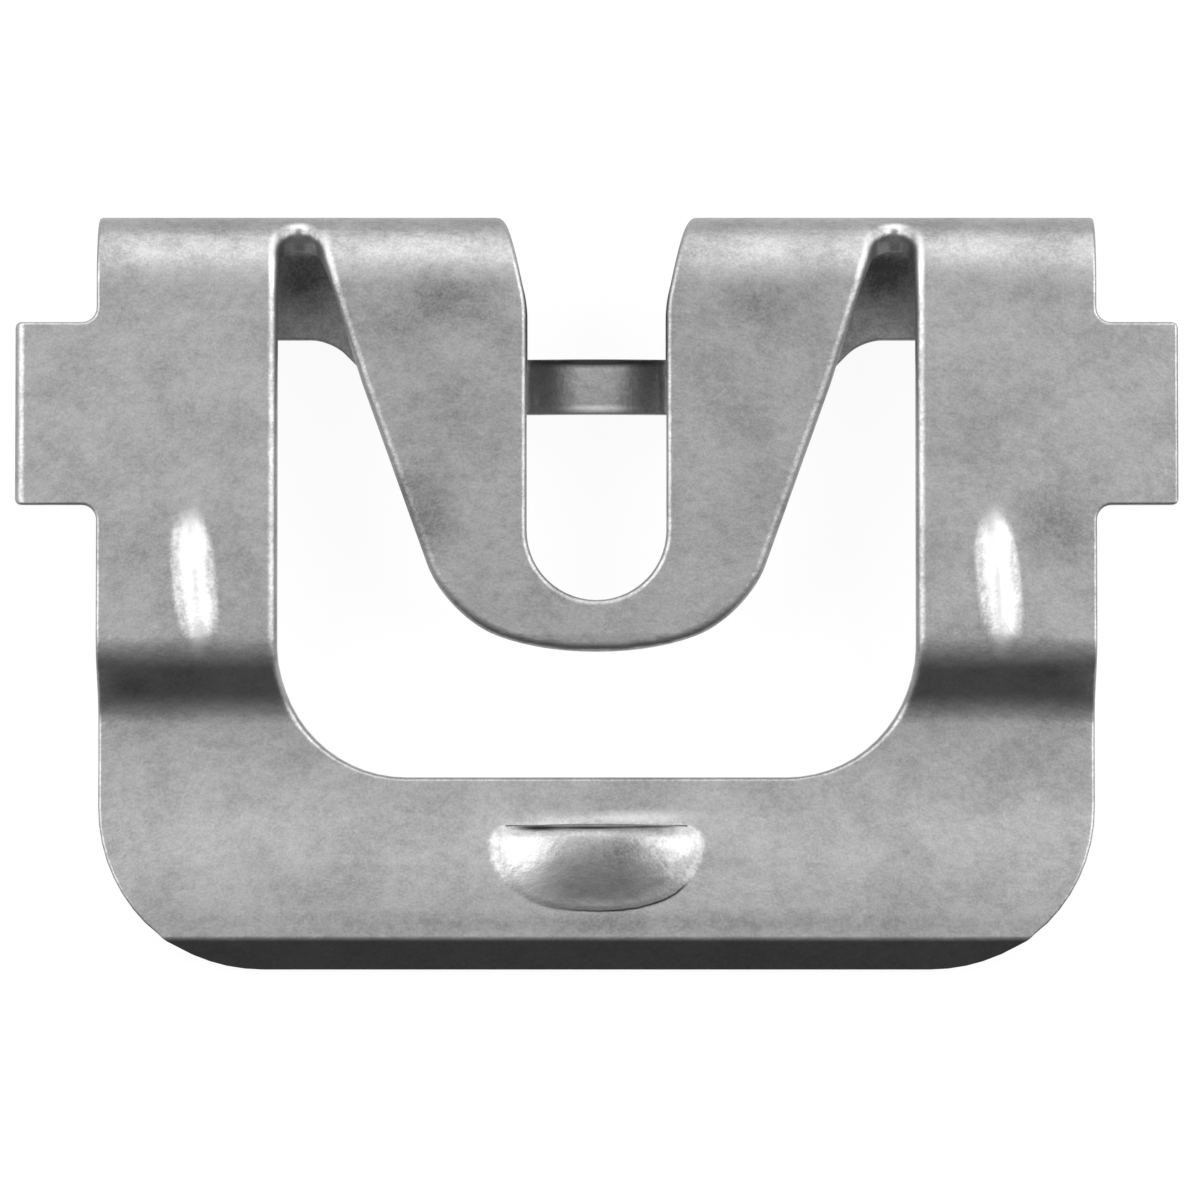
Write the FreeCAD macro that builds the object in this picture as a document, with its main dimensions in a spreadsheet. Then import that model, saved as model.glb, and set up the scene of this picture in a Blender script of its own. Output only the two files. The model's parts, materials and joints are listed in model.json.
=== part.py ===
import FreeCAD, Part
import math
import os
from types import SimpleNamespace

import Sketcher

# A molding clip: one strip of spring steel, folded over at the top.
# In the body's own frame, X runs across the clip, Y runs up it with 0 at the top of the fold,
# and Z points at the side that faces the car body, with 0 on the face of the stud tongue.
# A "drop" is a distance down from the top of the fold, a "depth" is one behind the tongue's face.

SIZES = (
    ("plate_width", 27.3, "across the two legs"),
    ("sheet_thickness", 0.8, "spring steel sheet"),
    ("fold_radius", 1.9, "outside of the fold at the top"),
    ("ear_length", 2.225, "how far an ear stands out of its leg"),
    ("ear_drop", 2.92, "upper edge of the ears"),
    ("ear_height", 5.0, "length of an ear along the leg"),
    ("ear_round", 0.4, "inside corners at the ears"),
    ("leg_width", 4.83, "width of a leg"),
    ("leg_bend_radius", 12.0, "bend that lifts the legs off the tongue's plane"),
    ("leg_rise", 3.5, "degrees that the legs rise"),
    ("ridge_rise", 4.15, "crest of the ridge above the window's lower edge"),
    ("ridge_radius", 2.0, "outside of the ridge"),
    ("step_angle", 47.0, "degrees that the step falls"),
    ("valley_radius", 1.9, "inside of the valley under the step"),
    ("valley_depth", 0.9, "lowest line of the valley"),
    ("dish_radius", 12.0, "hollow of the cross bar"),
    ("crown_depth", 0.25, "cross bar's face where the lip bends off"),
    ("bar_height", 4.4, "cross bar from the window's lower edge to the lip's bend line"),
    ("lip_angle", 55.0, "degrees that the lip is bent back"),
    ("lip_length", 1.5, "lip from its bend line to its edge"),
    ("lip_bend_radius", 0.3, "outside of the lip's bend"),
    ("corner_radius", 4.5, "lower corners of the blank"),
    ("window_drop", 15.4, "lower edge of the window"),
    ("window_corner_radius", 3.5, "lower corners of the window"),
    ("apex_angle", 27.0, "degrees from the fold's top to the window's two apexes"),
    ("apex_width", 1.4, "width of the window at an apex"),
    ("apex_flat", 0.16, "flat top of an apex, between its rounded corners"),
    ("apex_drop", 0.95, "where the window starts to widen below an apex"),
    ("tongue_root_inset", 0.32, "tongue's side at the fold, in from an apex's inner side"),
    ("tongue_knee_inset", 1.1, "tongue's side where it turns in, in from the same side"),
    ("tongue_knee_drop", 4.6, "place of that turn"),
    ("tongue_side_wall", 2.994, "tongue beside the centre of the slot's round end"),
    ("tongue_corner_radius", 3.2, "corners of the tongue's end"),
    ("tongue_end_ease", 1.18, "radius of the tongue's end past half its width at the turn"),
    ("tongue_end_wall", 1.45, "tongue below the slot's round end"),
    ("slot_width", 3.82, "stud slot"),
    ("slot_centre_drop", 8.6, "centre of the slot's round end"),
    ("mouth_flare", 0.71, "how much wider the slot's mouth is, a side"),
    ("mouth_drop", 2.2, "where the mouth has closed to the slot"),
    ("mouth_round", 3.0, "rounding where the mouth meets the slot"),
    ("bar_top_drop", 3.88, "upper edge of the locking bar"),
    ("bar_width", 1.52, "locking bar from its upper edge to its lower one"),
    ("bar_bow", 0.5, "bow of the locking bar towards the tongue"),
    ("shoulder_drop", 3.33, "lower edge of the back plate beside the tab"),
    ("tab_width", 10.54, "lower edge of the tab that carries the locking bar"),
    ("tab_flare", 2.07, "how much wider the tab is at the shoulders, a side"),
    ("tab_round", 1.3, "corner between tab and shoulder"),
    ("scoop_width", 6.0, "lanced scoop on the cross bar"),
    ("scoop_cut_rise", 3.1, "lanced edge of the scoop above the lip's bend line"),
    ("scoop_length", 2.3, "scoop from its lanced edge to its foot"),
    ("scoop_height", 0.85, "scoop above the cross bar"),
    ("scoop_wall", 0.6, "thinned sheet of the scoop"),
    ("scoop_root", 0.35, "depth of the scoop's centre in the cross bar"),
    ("scoop_tilt", 11.0, "degrees that the cross bar rises under the scoop"),
    ("scoop_side_wall", 0.2, "scoop outside its hollow, at a side"),
    ("scoop_foot_wall", 0.3, "scoop outside its hollow, at its foot"),
    ("bead_length", 4.0, "stiffening bead on a leg"),
    ("bead_width", 1.5, "width of a bead"),
    ("bead_height", 0.3, "height of a bead"),
    ("bead_root", 0.3, "depth of a bead's centre in the leg"),
    ("bead_inset", 2.13, "middle of a bead from the window's side"),
    ("bead_rise", 1.2, "middle of a bead above the ridge's crest"),
    ("margin", 1.0, "how far a cutting outline runs past the sheet"),
)


CUTS = ("PartDesign::Pocket", "PartDesign::Groove", "PartDesign::SubtractiveEllipsoid")
LENGTH_MATCH = 0.001
ANGLE_MATCH = 0.01


class Size:
    """A length or an angle from the table: its value now, and the expression that keeps it."""

    def __init__(self, value, text):
        self.value = value
        self.text = text

    def joined(self, sign, other, work):
        other = as_size(other)
        return Size(work(self.value, other.value), f"({self.text} {sign} {other.text})")

    def __add__(self, other):
        return self.joined("+", other, lambda a, b: a + b)

    def __sub__(self, other):
        return self.joined("-", other, lambda a, b: a - b)

    def __mul__(self, other):
        return self.joined("*", other, lambda a, b: a * b)

    def __truediv__(self, other):
        return self.joined("/", other, lambda a, b: a / b)

    def __neg__(self):
        return Size(-self.value, f"(-{self.text})")


def as_size(number):
    return number if isinstance(number, Size) else Size(number, str(number))


def sine(angle):
    return Size(math.sin(math.radians(angle.value)), f"sin({angle.text} * 1 deg)")


def cosine(angle):
    return Size(math.cos(math.radians(angle.value)), f"cos({angle.text} * 1 deg)")


def root(size):
    return Size(math.sqrt(size.value), f"sqrt({size.text})")


def make_sheet(doc):
    """The table of driving dimensions, and its sizes by name."""
    sheet = doc.addObject("Spreadsheet::Sheet", "Sizes")
    for row, (alias, value, note) in enumerate(SIZES, start=1):
        sheet.set(f"A{row}", alias)
        sheet.set(f"B{row}", str(value))
        sheet.setAlias(f"B{row}", alias)
        sheet.set(f"C{row}", note)
    doc.recompute()
    return worked_out(SimpleNamespace(**{alias: Size(value, f"Sizes.{alias}") for alias, value, _ in SIZES}))


def worked_out(s):
    """The places that follow from the driving dimensions, kept beside them."""
    s.edge_x = s.plate_width / 2
    s.window_x = s.edge_x - s.leg_width
    s.apex_x = s.window_x - s.apex_width
    s.slot_x = s.slot_width / 2
    s.ridge_drop = s.window_drop - s.ridge_rise
    s.lip_line_drop = s.window_drop + s.bar_height
    s.bar_bottom_drop = s.bar_top_drop + s.bar_width
    s.scoop_cut_drop = s.lip_line_drop - s.scoop_cut_rise
    s.bead_drop = s.ridge_drop - s.bead_rise
    return s


def origin_plane(body, role):
    return next(item for item in body.Origin.OriginFeatures if item.Role == role)


def attach(item, body, role, base=(None, None, None), turn=None):
    """Put a feature on a main plane of the body, moved and turned about X by sizes."""
    item.AttachmentSupport = (origin_plane(body, role), [""])
    item.MapMode = "FlatFace"
    for axis, size in zip("xyz", base):
        if size is not None:
            item.setExpression(f".AttachmentOffset.Base.{axis}", size.text)
    if turn is not None:
        item.AttachmentOffset = FreeCAD.Placement(
            FreeCAD.Vector(), FreeCAD.Rotation(FreeCAD.Vector(1, 0, 0), turn.value))
        item.setExpression(".AttachmentOffset.Rotation.Angle", f"{turn.text} * 1 deg")


class Outline:
    """A flat outline on one of the body's main planes, tied to the table of sizes."""

    START, END, CENTRE = range(1, 4)
    ORIGIN = (-1, 1)

    def __init__(self, body, name, role, base=(None, None, None), turn=None):
        self.sketch = body.newObject("Sketcher::SketchObject", name)
        attach(self.sketch, body, role, base, turn)

    def rule(self, kind, *where):
        return self.sketch.addConstraint(Sketcher.Constraint(kind, *where))

    def bind(self, kind, size, *where):
        """A dimension that follows the table of sizes."""
        value, text = size.value, size.text
        if kind == "Angle":
            value, text = math.radians(value), f"{text} * 1 deg"
        index = self.rule(kind, *where, value)
        self.sketch.setExpression(f"Constraints[{index}]", text)

    def place(self, item, end, x=None, y=None):
        for kind, size in (("DistanceX", x), ("DistanceY", y)):
            if size is None:
                continue
            if not isinstance(size, Size):
                self.rule(kind, *self.ORIGIN, item, end, float(size))
            elif size.value < 0:
                self.bind(kind, -size, item, end, *self.ORIGIN)
            else:
                self.bind(kind, size, *self.ORIGIN, item, end)

    def line(self, start, end):
        return self.sketch.addGeometry(Part.LineSegment(start, end), False)

    def arc(self, centre, radius, first, last):
        """An arc that turns anticlockwise from the first angle to the last, in degrees."""
        circle = Part.Circle(centre, FreeCAD.Vector(0, 0, 1), radius)
        return self.sketch.addGeometry(
            Part.ArcOfCircle(circle, math.radians(first), math.radians(last)), False)

    def smooth(self, one, one_end, other, other_end):
        self.rule("Tangent", one, one_end, other, other_end)

    def loop(self, corners):
        """A closed outline of straight lines, each corner (x, y) or (x, y, rounding radius)."""
        points = [flat(*corner[:2]) for corner in corners]
        bends = []
        for i, corner in enumerate(corners):
            if len(corner) == 2:
                bends.append((None, points[i], points[i]))
                continue
            back = (points[i - 1] - points[i]).normalize()
            ahead = (points[(i + 1) % len(points)] - points[i]).normalize()
            half = back.getAngle(ahead) / 2
            radius = corner[2].value
            centre = points[i] + (back + ahead).normalize() * (radius / math.sin(half))
            reach = radius / math.tan(half)
            first, last = points[i] + back * reach, points[i] + ahead * reach
            left_turn = ahead.cross(back).z > 0
            ends = (first, last) if left_turn else (last, first)
            angles = [math.degrees(math.atan2(*(end - centre)[1::-1])) for end in ends]
            if angles[1] < angles[0]:
                angles[1] += 360
            item = self.arc(centre, radius, *angles)
            self.bind("Radius", corner[2], item)
            mark = self.sketch.addGeometry(Part.Point(points[i]), True)
            self.place(mark, self.START, corner[0], corner[1])
            order = (self.START, self.END) if left_turn else (self.END, self.START)
            bends.append(((item, mark, order), first, last))
        lines = [self.line(bends[i][2], bends[(i + 1) % len(bends)][1]) for i in range(len(bends))]
        for i, (bend, _, _) in enumerate(bends):
            before, after = lines[i - 1], lines[i]
            if bend is None:
                self.rule("Coincident", before, self.END, after, self.START)
                self.place(after, self.START, corners[i][0], corners[i][1])
                continue
            item, mark, order = bend
            self.smooth(before, self.END, item, order[0])
            self.smooth(item, order[1], after, self.START)
            self.rule("PointOnObject", mark, self.START, before)
            self.rule("PointOnObject", mark, self.START, after)


def flat(x, y):
    return FreeCAD.Vector(as_size(x).value, as_size(y).value, 0)


def mirrored(corners):
    """The same outline on the other side of the clip."""
    return [(-corner[0], *corner[1:]) for corner in corners]


def cut(body, outline, name, reach):
    """Cut an outline through the clip: all of it, or what is in front of or behind the outline."""
    pocket = body.newObject("PartDesign::Pocket", name)
    pocket.Profile = outline.sketch
    pocket.Type = "ThroughAll"
    if reach == "through":
        pocket.SideType = "Two sides"
        pocket.Type2 = "ThroughAll"
    pocket.Reversed = reach == "front"
    return pocket


def side_path(body, s):
    """The middle line of the sheet, seen from the side: back plate, fold, leg and cross bar."""
    half = s.sheet_thickness / 2
    path = Outline(body, "SidePath", "YZ_Plane")
    start, end, centre = Outline.START, Outline.END, Outline.CENTRE

    # First places of the lines and arcs; the rules below then hold them.
    rise, fall = math.radians(s.leg_rise.value), math.radians(s.step_angle.value)
    fold, thick = s.fold_radius.value, half.value
    lift = s.leg_bend_radius.value + thick
    crest = s.ridge_radius.value - thick
    valley = s.valley_radius.value + thick
    dish = s.dish_radius.value + thick
    leg_top = FreeCAD.Vector(-fold - lift * math.sin(rise), -thick + lift * (1 - math.cos(rise)), 0)
    leg_foot_x = -s.ridge_drop.value + crest * math.sin(rise)
    leg_foot = FreeCAD.Vector(leg_foot_x, leg_top.y + (leg_top.x - leg_foot_x) * math.tan(rise), 0)
    ridge_centre = FreeCAD.Vector(-s.ridge_drop.value, leg_foot.y - crest * math.cos(rise), 0)
    step_top = ridge_centre + FreeCAD.Vector(-crest * math.sin(fall), crest * math.cos(fall), 0)
    floor = -s.valley_depth.value - thick
    step_foot_y = floor + valley * (1 - math.cos(fall))
    step_foot = FreeCAD.Vector(step_top.x - (step_top.y - step_foot_y) / math.tan(fall), step_foot_y, 0)
    valley_x = step_foot.x - valley * math.sin(fall)
    run = valley_x + s.lip_line_drop.value
    climb = s.valley_depth.value - s.crown_depth.value
    slope = 2 * math.atan2(climb, run)
    crown = run / math.sin(slope) - dish

    back = half - s.fold_radius * 2
    plate = path.line(flat(-s.bar_bottom_drop, back), flat(-s.fold_radius, back))
    bend = path.arc(flat(-s.fold_radius, -s.fold_radius), fold - thick, -90, 90)
    lifting = path.arc(flat(-s.fold_radius, s.leg_bend_radius), lift, -90 - s.leg_rise.value, -90)
    leg = path.line(leg_top, leg_foot)
    ridge = path.arc(ridge_centre, crest, 90 - s.leg_rise.value, 90 + s.step_angle.value)
    step = path.line(step_top, step_foot)
    hollow = path.arc(FreeCAD.Vector(valley_x, floor + valley, 0), valley, 270, 270 + s.step_angle.value)
    rising = path.arc(FreeCAD.Vector(valley_x, floor + dish, 0), dish, 270 - math.degrees(slope), 270)
    crown_centre = FreeCAD.Vector(-s.lip_line_drop.value, -s.crown_depth.value - thick - crown, 0)
    crowning = path.arc(crown_centre, crown, 90 - math.degrees(slope), 90)

    for joint in ((plate, end, bend, start), (bend, end, lifting, end), (lifting, start, leg, start),
                  (leg, end, ridge, start), (ridge, end, step, start), (step, end, hollow, end),
                  (hollow, start, rising, end), (rising, start, crowning, start)):
        path.smooth(*joint)
    path.place(plate, start, -s.bar_bottom_drop, back)
    path.rule("Horizontal", plate)
    path.place(bend, centre, -s.fold_radius)
    path.bind("Radius", s.fold_radius - half, bend)
    path.rule("Vertical", bend, centre, bend, end)
    path.bind("Radius", s.leg_bend_radius + half, lifting)
    path.bind("Angle", as_size(180) - s.leg_rise, leg)
    path.bind("Radius", s.ridge_radius - half, ridge)
    path.place(ridge, centre, -s.ridge_drop)
    path.bind("Angle", s.step_angle - 180, step)
    path.bind("Radius", s.valley_radius + half, hollow)
    path.rule("Vertical", hollow, centre, hollow, start)
    path.place(hollow, start, None, -(s.valley_depth + half))
    path.bind("Radius", s.dish_radius + half, rising)
    path.rule("Vertical", crowning, centre, crowning, end)
    path.place(crowning, end, -s.lip_line_drop, -(s.crown_depth + half))

    # Marks on the leg and the cross bar carry the heights at which bead and scoop sit.
    for item, drop, name in ((leg, s.bead_drop, "bead_seat"), (rising, s.scoop_cut_drop, "scoop_seat")):
        mark = path.sketch.addGeometry(Part.Point(FreeCAD.Vector(-drop.value, -thick, 0)), True)
        path.rule("PointOnObject", mark, start, item)
        path.place(mark, start, -drop)
        index = path.rule("DistanceY", *Outline.ORIGIN, mark, start, -thick)
        path.sketch.setDriving(index, False)
        path.sketch.renameConstraint(index, name)
    return path


def folded_strip(body, s):
    """The whole strip, as wide as the ears reach, swept along its side path."""
    path = side_path(body, s)
    section = Outline(body, "StripSection", "XZ_Plane", (None, None, s.bar_bottom_drop))
    edge = s.edge_x + s.ear_length
    low, high = -(s.fold_radius * 2), s.sheet_thickness - s.fold_radius * 2
    section.loop([(-edge, low), (edge, low), (edge, high), (-edge, high)])
    body.Document.recompute()
    strip = body.newObject("PartDesign::AdditivePipe", "FoldedStrip")
    strip.Profile = section.sketch
    strip.Spine = (path.sketch, [f"Edge{i + 1}" for i in range(len(path.sketch.Shape.Edges))])
    return strip


def trimmed_sides(body, s):
    """The strip cut back to the legs, the ears and the round lower corners."""
    leg, edge = s.edge_x, s.edge_x + s.ear_length + s.margin
    ear_foot = s.ear_drop + s.ear_height
    foot = s.lip_line_drop + s.lip_length
    past = leg - s.corner_radius - s.margin
    above = [(leg, s.margin), (edge, s.margin), (edge, -s.ear_drop), (leg, -s.ear_drop, s.ear_round)]
    below = [(leg, -ear_foot, s.ear_round), (edge, -ear_foot), (edge, -(foot + s.margin)),
             (past, -(foot + s.margin)), (past, -foot), (leg, -foot, s.corner_radius)]
    outline = Outline(body, "SideOutline", "XY_Plane")
    for corners in (above, below):
        outline.loop(corners)
        outline.loop(mirrored(corners))
    cut(body, outline, "TrimmedSides", "through")

    behind_ear = [(leg, -s.fold_radius), (edge, -s.fold_radius),
                  (edge, -(s.bar_bottom_drop + s.margin)), (leg, -(s.bar_bottom_drop + s.margin))]
    outline = Outline(body, "BehindEarsOutline", "XY_Plane", (None, None, -s.fold_radius))
    outline.loop(behind_ear)
    outline.loop(mirrored(behind_ear))
    return cut(body, outline, "BehindEars", "back")


def window(body, s):
    """The opening between the legs, down to the cross bar, without its two apexes."""
    side = s.window_x
    joint = s.bar_bottom_drop + s.margin
    outline = Outline(body, "LowerWindowOutline", "XY_Plane")
    outline.loop([(-side, -joint), (side, -joint), (side, -s.window_drop, s.window_corner_radius),
                  (-side, -s.window_drop, s.window_corner_radius)])
    cut(body, outline, "LowerWindow", "through")
    outline = Outline(body, "UpperWindowOutline", "XY_Plane", (None, None, -s.fold_radius))
    outline.loop([(-side, -s.fold_radius), (side, -s.fold_radius),
                  (side, -(joint + s.margin)), (-side, -(joint + s.margin))])
    return cut(body, outline, "UpperWindow", "front")


def stud_tongue(body, s):
    """The tongue that hangs level from the fold, with its sides closing to a round end."""
    start, end, centre = Outline.START, Outline.END, Outline.CENTRE
    outline = Outline(body, "TongueOutline", "XY_Plane", (None, None, -s.sheet_thickness))
    root_x, root_y = s.apex_x - s.tongue_root_inset, -s.fold_radius
    knee_x, knee_y = s.apex_x - s.tongue_knee_inset, -s.tongue_knee_drop
    end_size = knee_x + s.tongue_end_ease
    end_drop = s.slot_centre_drop + s.slot_x + s.tongue_end_wall
    foot_x, foot_y = s.slot_x + s.tongue_side_wall, -s.slot_centre_drop
    close = math.atan2((knee_x - foot_x).value, (knee_y - foot_y).value)
    angle = math.degrees(close)
    end_radius, corner = end_size.value, s.tongue_corner_radius.value
    end_centre = FreeCAD.Vector(0, end_radius - end_drop.value, 0)
    # The corner's centre lies one radius inside the side and on a circle about the end's centre.
    knee = flat(knee_x, knee_y)
    inward = FreeCAD.Vector(-math.cos(close), math.sin(close), 0)
    along = FreeCAD.Vector(-math.sin(close), -math.cos(close), 0)
    offset = knee + inward * corner - end_centre
    gap = end_radius - corner
    reach = -offset.dot(along) + math.sqrt(offset.dot(along) ** 2 - offset.dot(offset) + gap ** 2)
    corner_centre = knee + inward * corner + along * reach
    side_foot = knee + along * reach
    turn = math.degrees(math.atan2(corner_centre.y - end_centre.y, corner_centre.x))

    top = outline.line(flat(-root_x, root_y), flat(root_x, root_y))
    outline.place(top, start, -root_x, root_y)
    outline.place(top, end, root_x, root_y)
    end_arc = outline.arc(end_centre, end_radius, -180 - turn, turn)
    outline.bind("Radius", end_size, end_arc)
    outline.place(end_arc, centre, 0, end_size - end_drop)
    for hand, top_end, arc_end in ((1, end, end), (-1, start, start)):
        knee_at, foot_at, bend_at = (flat(p.x * hand, p.y) for p in (knee, side_foot, corner_centre))
        shoulder = outline.line(flat(root_x * hand, root_y), knee_at)
        side = outline.line(knee_at, foot_at)
        if hand == 1:
            bend = outline.arc(bend_at, corner, turn, -angle)
            ends = (end, start)
        else:
            bend = outline.arc(bend_at, corner, 180 + angle, 180 - turn)
            ends = (start, end)
        outline.rule("Coincident", top, top_end, shoulder, start)
        outline.rule("Coincident", shoulder, end, side, start)
        outline.place(side, start, knee_x * hand, knee_y)
        outline.smooth(side, end, bend, ends[0])
        outline.smooth(bend, ends[1], end_arc, arc_end)
        outline.bind("Radius", s.tongue_corner_radius, bend)
        mark = outline.sketch.addGeometry(Part.Point(flat(foot_x * hand, foot_y)), True)
        outline.place(mark, start, foot_x * hand, foot_y)
        outline.rule("PointOnObject", mark, start, side)
    tongue = body.newObject("PartDesign::Pad", "StudTongue")
    tongue.Profile = outline.sketch
    tongue.setExpression("Length", s.sheet_thickness.text)
    return tongue


def apexes(body, s):
    """The two apexes of the window, cut square through the fold."""
    outer, inner, height = s.window_x, s.apex_x, s.fold_radius + s.margin
    outline = Outline(body, "ApexOutline", "XZ_Plane", (None, -s.fold_radius, s.fold_radius))
    box = [(inner, 0), (outer, 0), (outer, height), (inner, height)]
    outline.loop(box)
    outline.loop(mirrored(box))
    apex = body.newObject("PartDesign::Groove", "Apexes")
    apex.Profile = outline.sketch
    apex.ReferenceAxis = (outline.sketch, ["H_Axis"])
    apex.setExpression("Angle", f"(90 - {s.apex_angle.text}) * 1 deg")
    apex.Reversed = True
    return apex


def apex_feet(body, s):
    """The edges that widen the window below its apexes."""
    outline = Outline(body, "ApexFootOutline", "XY_Plane", (None, None, -s.fold_radius))
    foot = [(s.apex_x, -s.apex_drop), (s.apex_x, -s.fold_radius),
            (s.apex_x - s.tongue_root_inset, -s.fold_radius)]
    outline.loop(foot)
    outline.loop(mirrored(foot))
    return cut(body, outline, "ApexFeet", "front")


def apex_rounds(body, s):
    """The round tops of the two apexes."""
    axis = s.fold_radius.value
    end = s.apex_angle.value

    def at_end(vertex):
        turn = math.degrees(math.atan2(vertex.Z + axis, vertex.Y + axis))
        return abs(turn - end) < ANGLE_MATCH

    def is_corner(edge):
        one, other = edge.Vertexes[0], edge.Vertexes[-1]
        return at_end(one) and at_end(other) and abs(one.X - other.X) < LENGTH_MATCH

    return rounded(body, "ApexRounds", is_corner, (s.apex_width - s.apex_flat) / 2)


def rounded(body, name, is_wanted, radius):
    """Round the edges of the last feature that a test picks out."""
    body.Document.recompute()
    base = body.Tip
    edges = [f"Edge{i + 1}" for i, edge in enumerate(base.Shape.Edges) if is_wanted(edge)]
    if not edges:
        raise ValueError(f"{name} found no edge to round")
    fillet = body.newObject("PartDesign::Fillet", name)
    fillet.Base = (base, edges)
    fillet.setExpression("Radius", radius.text)
    return fillet


def stud_slot(body, s):
    """The slot with its mouth over the fold, and its round end in the tongue."""
    mouth, slot = s.slot_x + s.mouth_flare, s.slot_x
    outline = Outline(body, "MouthOutline", "XY_Plane")
    outline.loop([(-mouth, s.margin), (-mouth, 0), (-slot, -s.mouth_drop, s.mouth_round),
                  (-slot, -s.bar_top_drop), (slot, -s.bar_top_drop),
                  (slot, -s.mouth_drop, s.mouth_round), (mouth, 0), (mouth, s.margin)])
    cut(body, outline, "Mouth", "through")

    start, end, centre = Outline.START, Outline.END, Outline.CENTRE
    outline = Outline(body, "SlotOutline", "XY_Plane", (None, None, -s.fold_radius))
    joint = s.margin - s.bar_top_drop
    top = outline.line(flat(-slot, joint), flat(slot, joint))
    right = outline.line(flat(slot, joint), flat(slot, -s.slot_centre_drop))
    left = outline.line(flat(-slot, joint), flat(-slot, -s.slot_centre_drop))
    bottom = outline.arc(flat(0, -s.slot_centre_drop), slot.value, 180, 360)
    outline.place(top, start, -slot, joint)
    outline.place(top, end, slot, joint)
    outline.rule("Coincident", top, end, right, start)
    outline.rule("Coincident", top, start, left, start)
    outline.rule("Vertical", right)
    outline.smooth(right, end, bottom, end)
    outline.smooth(left, end, bottom, start)
    outline.place(bottom, centre, 0, -s.slot_centre_drop)
    return cut(body, outline, "Slot", "front")


def back_plate(body, s):
    """The back plate's lower edge: level shoulders and a tab that carries the locking bar."""
    edge, foot = s.edge_x + s.ear_length + s.margin, -(s.bar_bottom_drop + s.margin)
    outline = Outline(body, "BackOutline", "XY_Plane", (None, None, -s.fold_radius))
    corners = [(edge, -s.shoulder_drop), (s.tab_width / 2 + s.tab_flare, -s.shoulder_drop, s.tab_round),
               (s.tab_width / 2, -s.bar_bottom_drop), (s.tab_width / 2, foot), (edge, foot)]
    outline.loop(corners)
    outline.loop(mirrored(corners))
    return cut(body, outline, "BackPlate", "back")


def locking_bar(body, s):
    """The strip that closes the back of the slot, bowed towards the tongue."""
    slot, foot = s.slot_x, -(s.bar_bottom_drop + s.margin)
    outline = Outline(body, "BarGapOutline", "XY_Plane", (None, None, -s.fold_radius))
    outline.loop([(-slot, -s.bar_top_drop), (slot, -s.bar_top_drop), (slot, foot), (-slot, foot)])
    cut(body, outline, "BarGap", "back")

    start, end, centre = Outline.START, Outline.END, Outline.CENTRE
    outline = Outline(body, "BowOutline", "XZ_Plane", (None, None, s.bar_top_drop))
    back, front = -(s.fold_radius * 2), s.sheet_thickness - s.fold_radius * 2
    radius = (slot * slot + s.bar_bow * s.bar_bow) / (s.bar_bow * 2)
    spread = math.degrees(math.asin(slot.value / radius.value))
    arcs = []
    for level in (back, front):
        bow = outline.arc(flat(0, level + s.bar_bow - radius), radius.value, 90 - spread, 90 + spread)
        outline.place(bow, start, slot, level)
        outline.place(bow, end, -slot, level)
        outline.bind("Radius", radius, bow)
        arcs.append(bow)
    for where, x in ((start, slot), (end, -slot)):
        side = outline.line(flat(x, back), flat(x, front))
        outline.rule("Coincident", side, start, arcs[0], where)
        outline.rule("Coincident", side, end, arcs[1], where)
    bar = body.newObject("PartDesign::Pad", "LockingBar")
    bar.Profile = outline.sketch
    bar.setExpression("Length", s.bar_width.text)
    return bar


def lip(body, s):
    """The lead-in lip, bent back from the cross bar, with the lower corners of the blank."""
    start, end, centre = Outline.START, Outline.END, Outline.CENTRE
    outline = Outline(body, "LipOutline", "XY_Plane", (None, -s.lip_line_drop, -s.crown_depth), s.lip_angle)
    radius, foot = s.corner_radius, -s.lip_length
    middle = s.edge_x - radius
    above = radius - s.lip_length
    reach = middle + root(radius * radius - above * above)
    first = math.degrees(math.atan2(-above.value, (reach - middle).value))
    top = outline.line(flat(-reach, 0), flat(reach, 0))
    bottom = outline.line(flat(-middle, foot), flat(middle, foot))
    outline.place(top, start, -reach, 0)
    outline.place(top, end, reach, 0)
    for hand, line_end in ((1, end), (-1, start)):
        if hand == 1:
            angles = (-90, first)
            upper, lower = end, start
        else:
            angles = (180 - first, 270)
            upper, lower = start, end
        corner = outline.arc(flat(middle * hand, above), radius.value, *angles)
        outline.rule("Coincident", top, line_end, corner, upper)
        outline.smooth(corner, lower, bottom, line_end)
        outline.place(corner, centre, middle * hand, above)
    plate = body.newObject("PartDesign::Pad", "Lip")
    plate.Profile = outline.sketch
    plate.setExpression("Length", s.sheet_thickness.text)
    plate.Reversed = True
    return plate


def scoop(body, s):
    """The scoop on the cross bar: a half dome, open along its lanced edge and hollow behind."""
    surface = Size(0, "(SidePath.Constraints.scoop_seat / 1 mm)") + s.sheet_thickness / 2
    dome = body.newObject("PartDesign::AdditiveEllipsoid", "Scoop")
    turn = as_size(180) - s.scoop_tilt
    attach(dome, body, "XY_Plane", (None, -s.scoop_cut_drop, surface - s.scoop_root), turn)
    height = s.scoop_height + s.scoop_root
    depth_share = s.scoop_root / height
    at_surface = root(as_size(1) - depth_share * depth_share)
    half_dome(dome, height, s.scoop_width / 2 / at_surface, s.scoop_length / at_surface)

    hollow = body.newObject("PartDesign::SubtractiveEllipsoid", "ScoopHollow")
    attach(hollow, body, "XY_Plane", (None, -s.scoop_cut_drop, surface - s.sheet_thickness), turn)
    half_dome(hollow, s.sheet_thickness + s.scoop_height - s.scoop_wall,
              s.scoop_width / 2 - s.scoop_side_wall, s.scoop_length - s.scoop_foot_wall)
    return hollow


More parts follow.
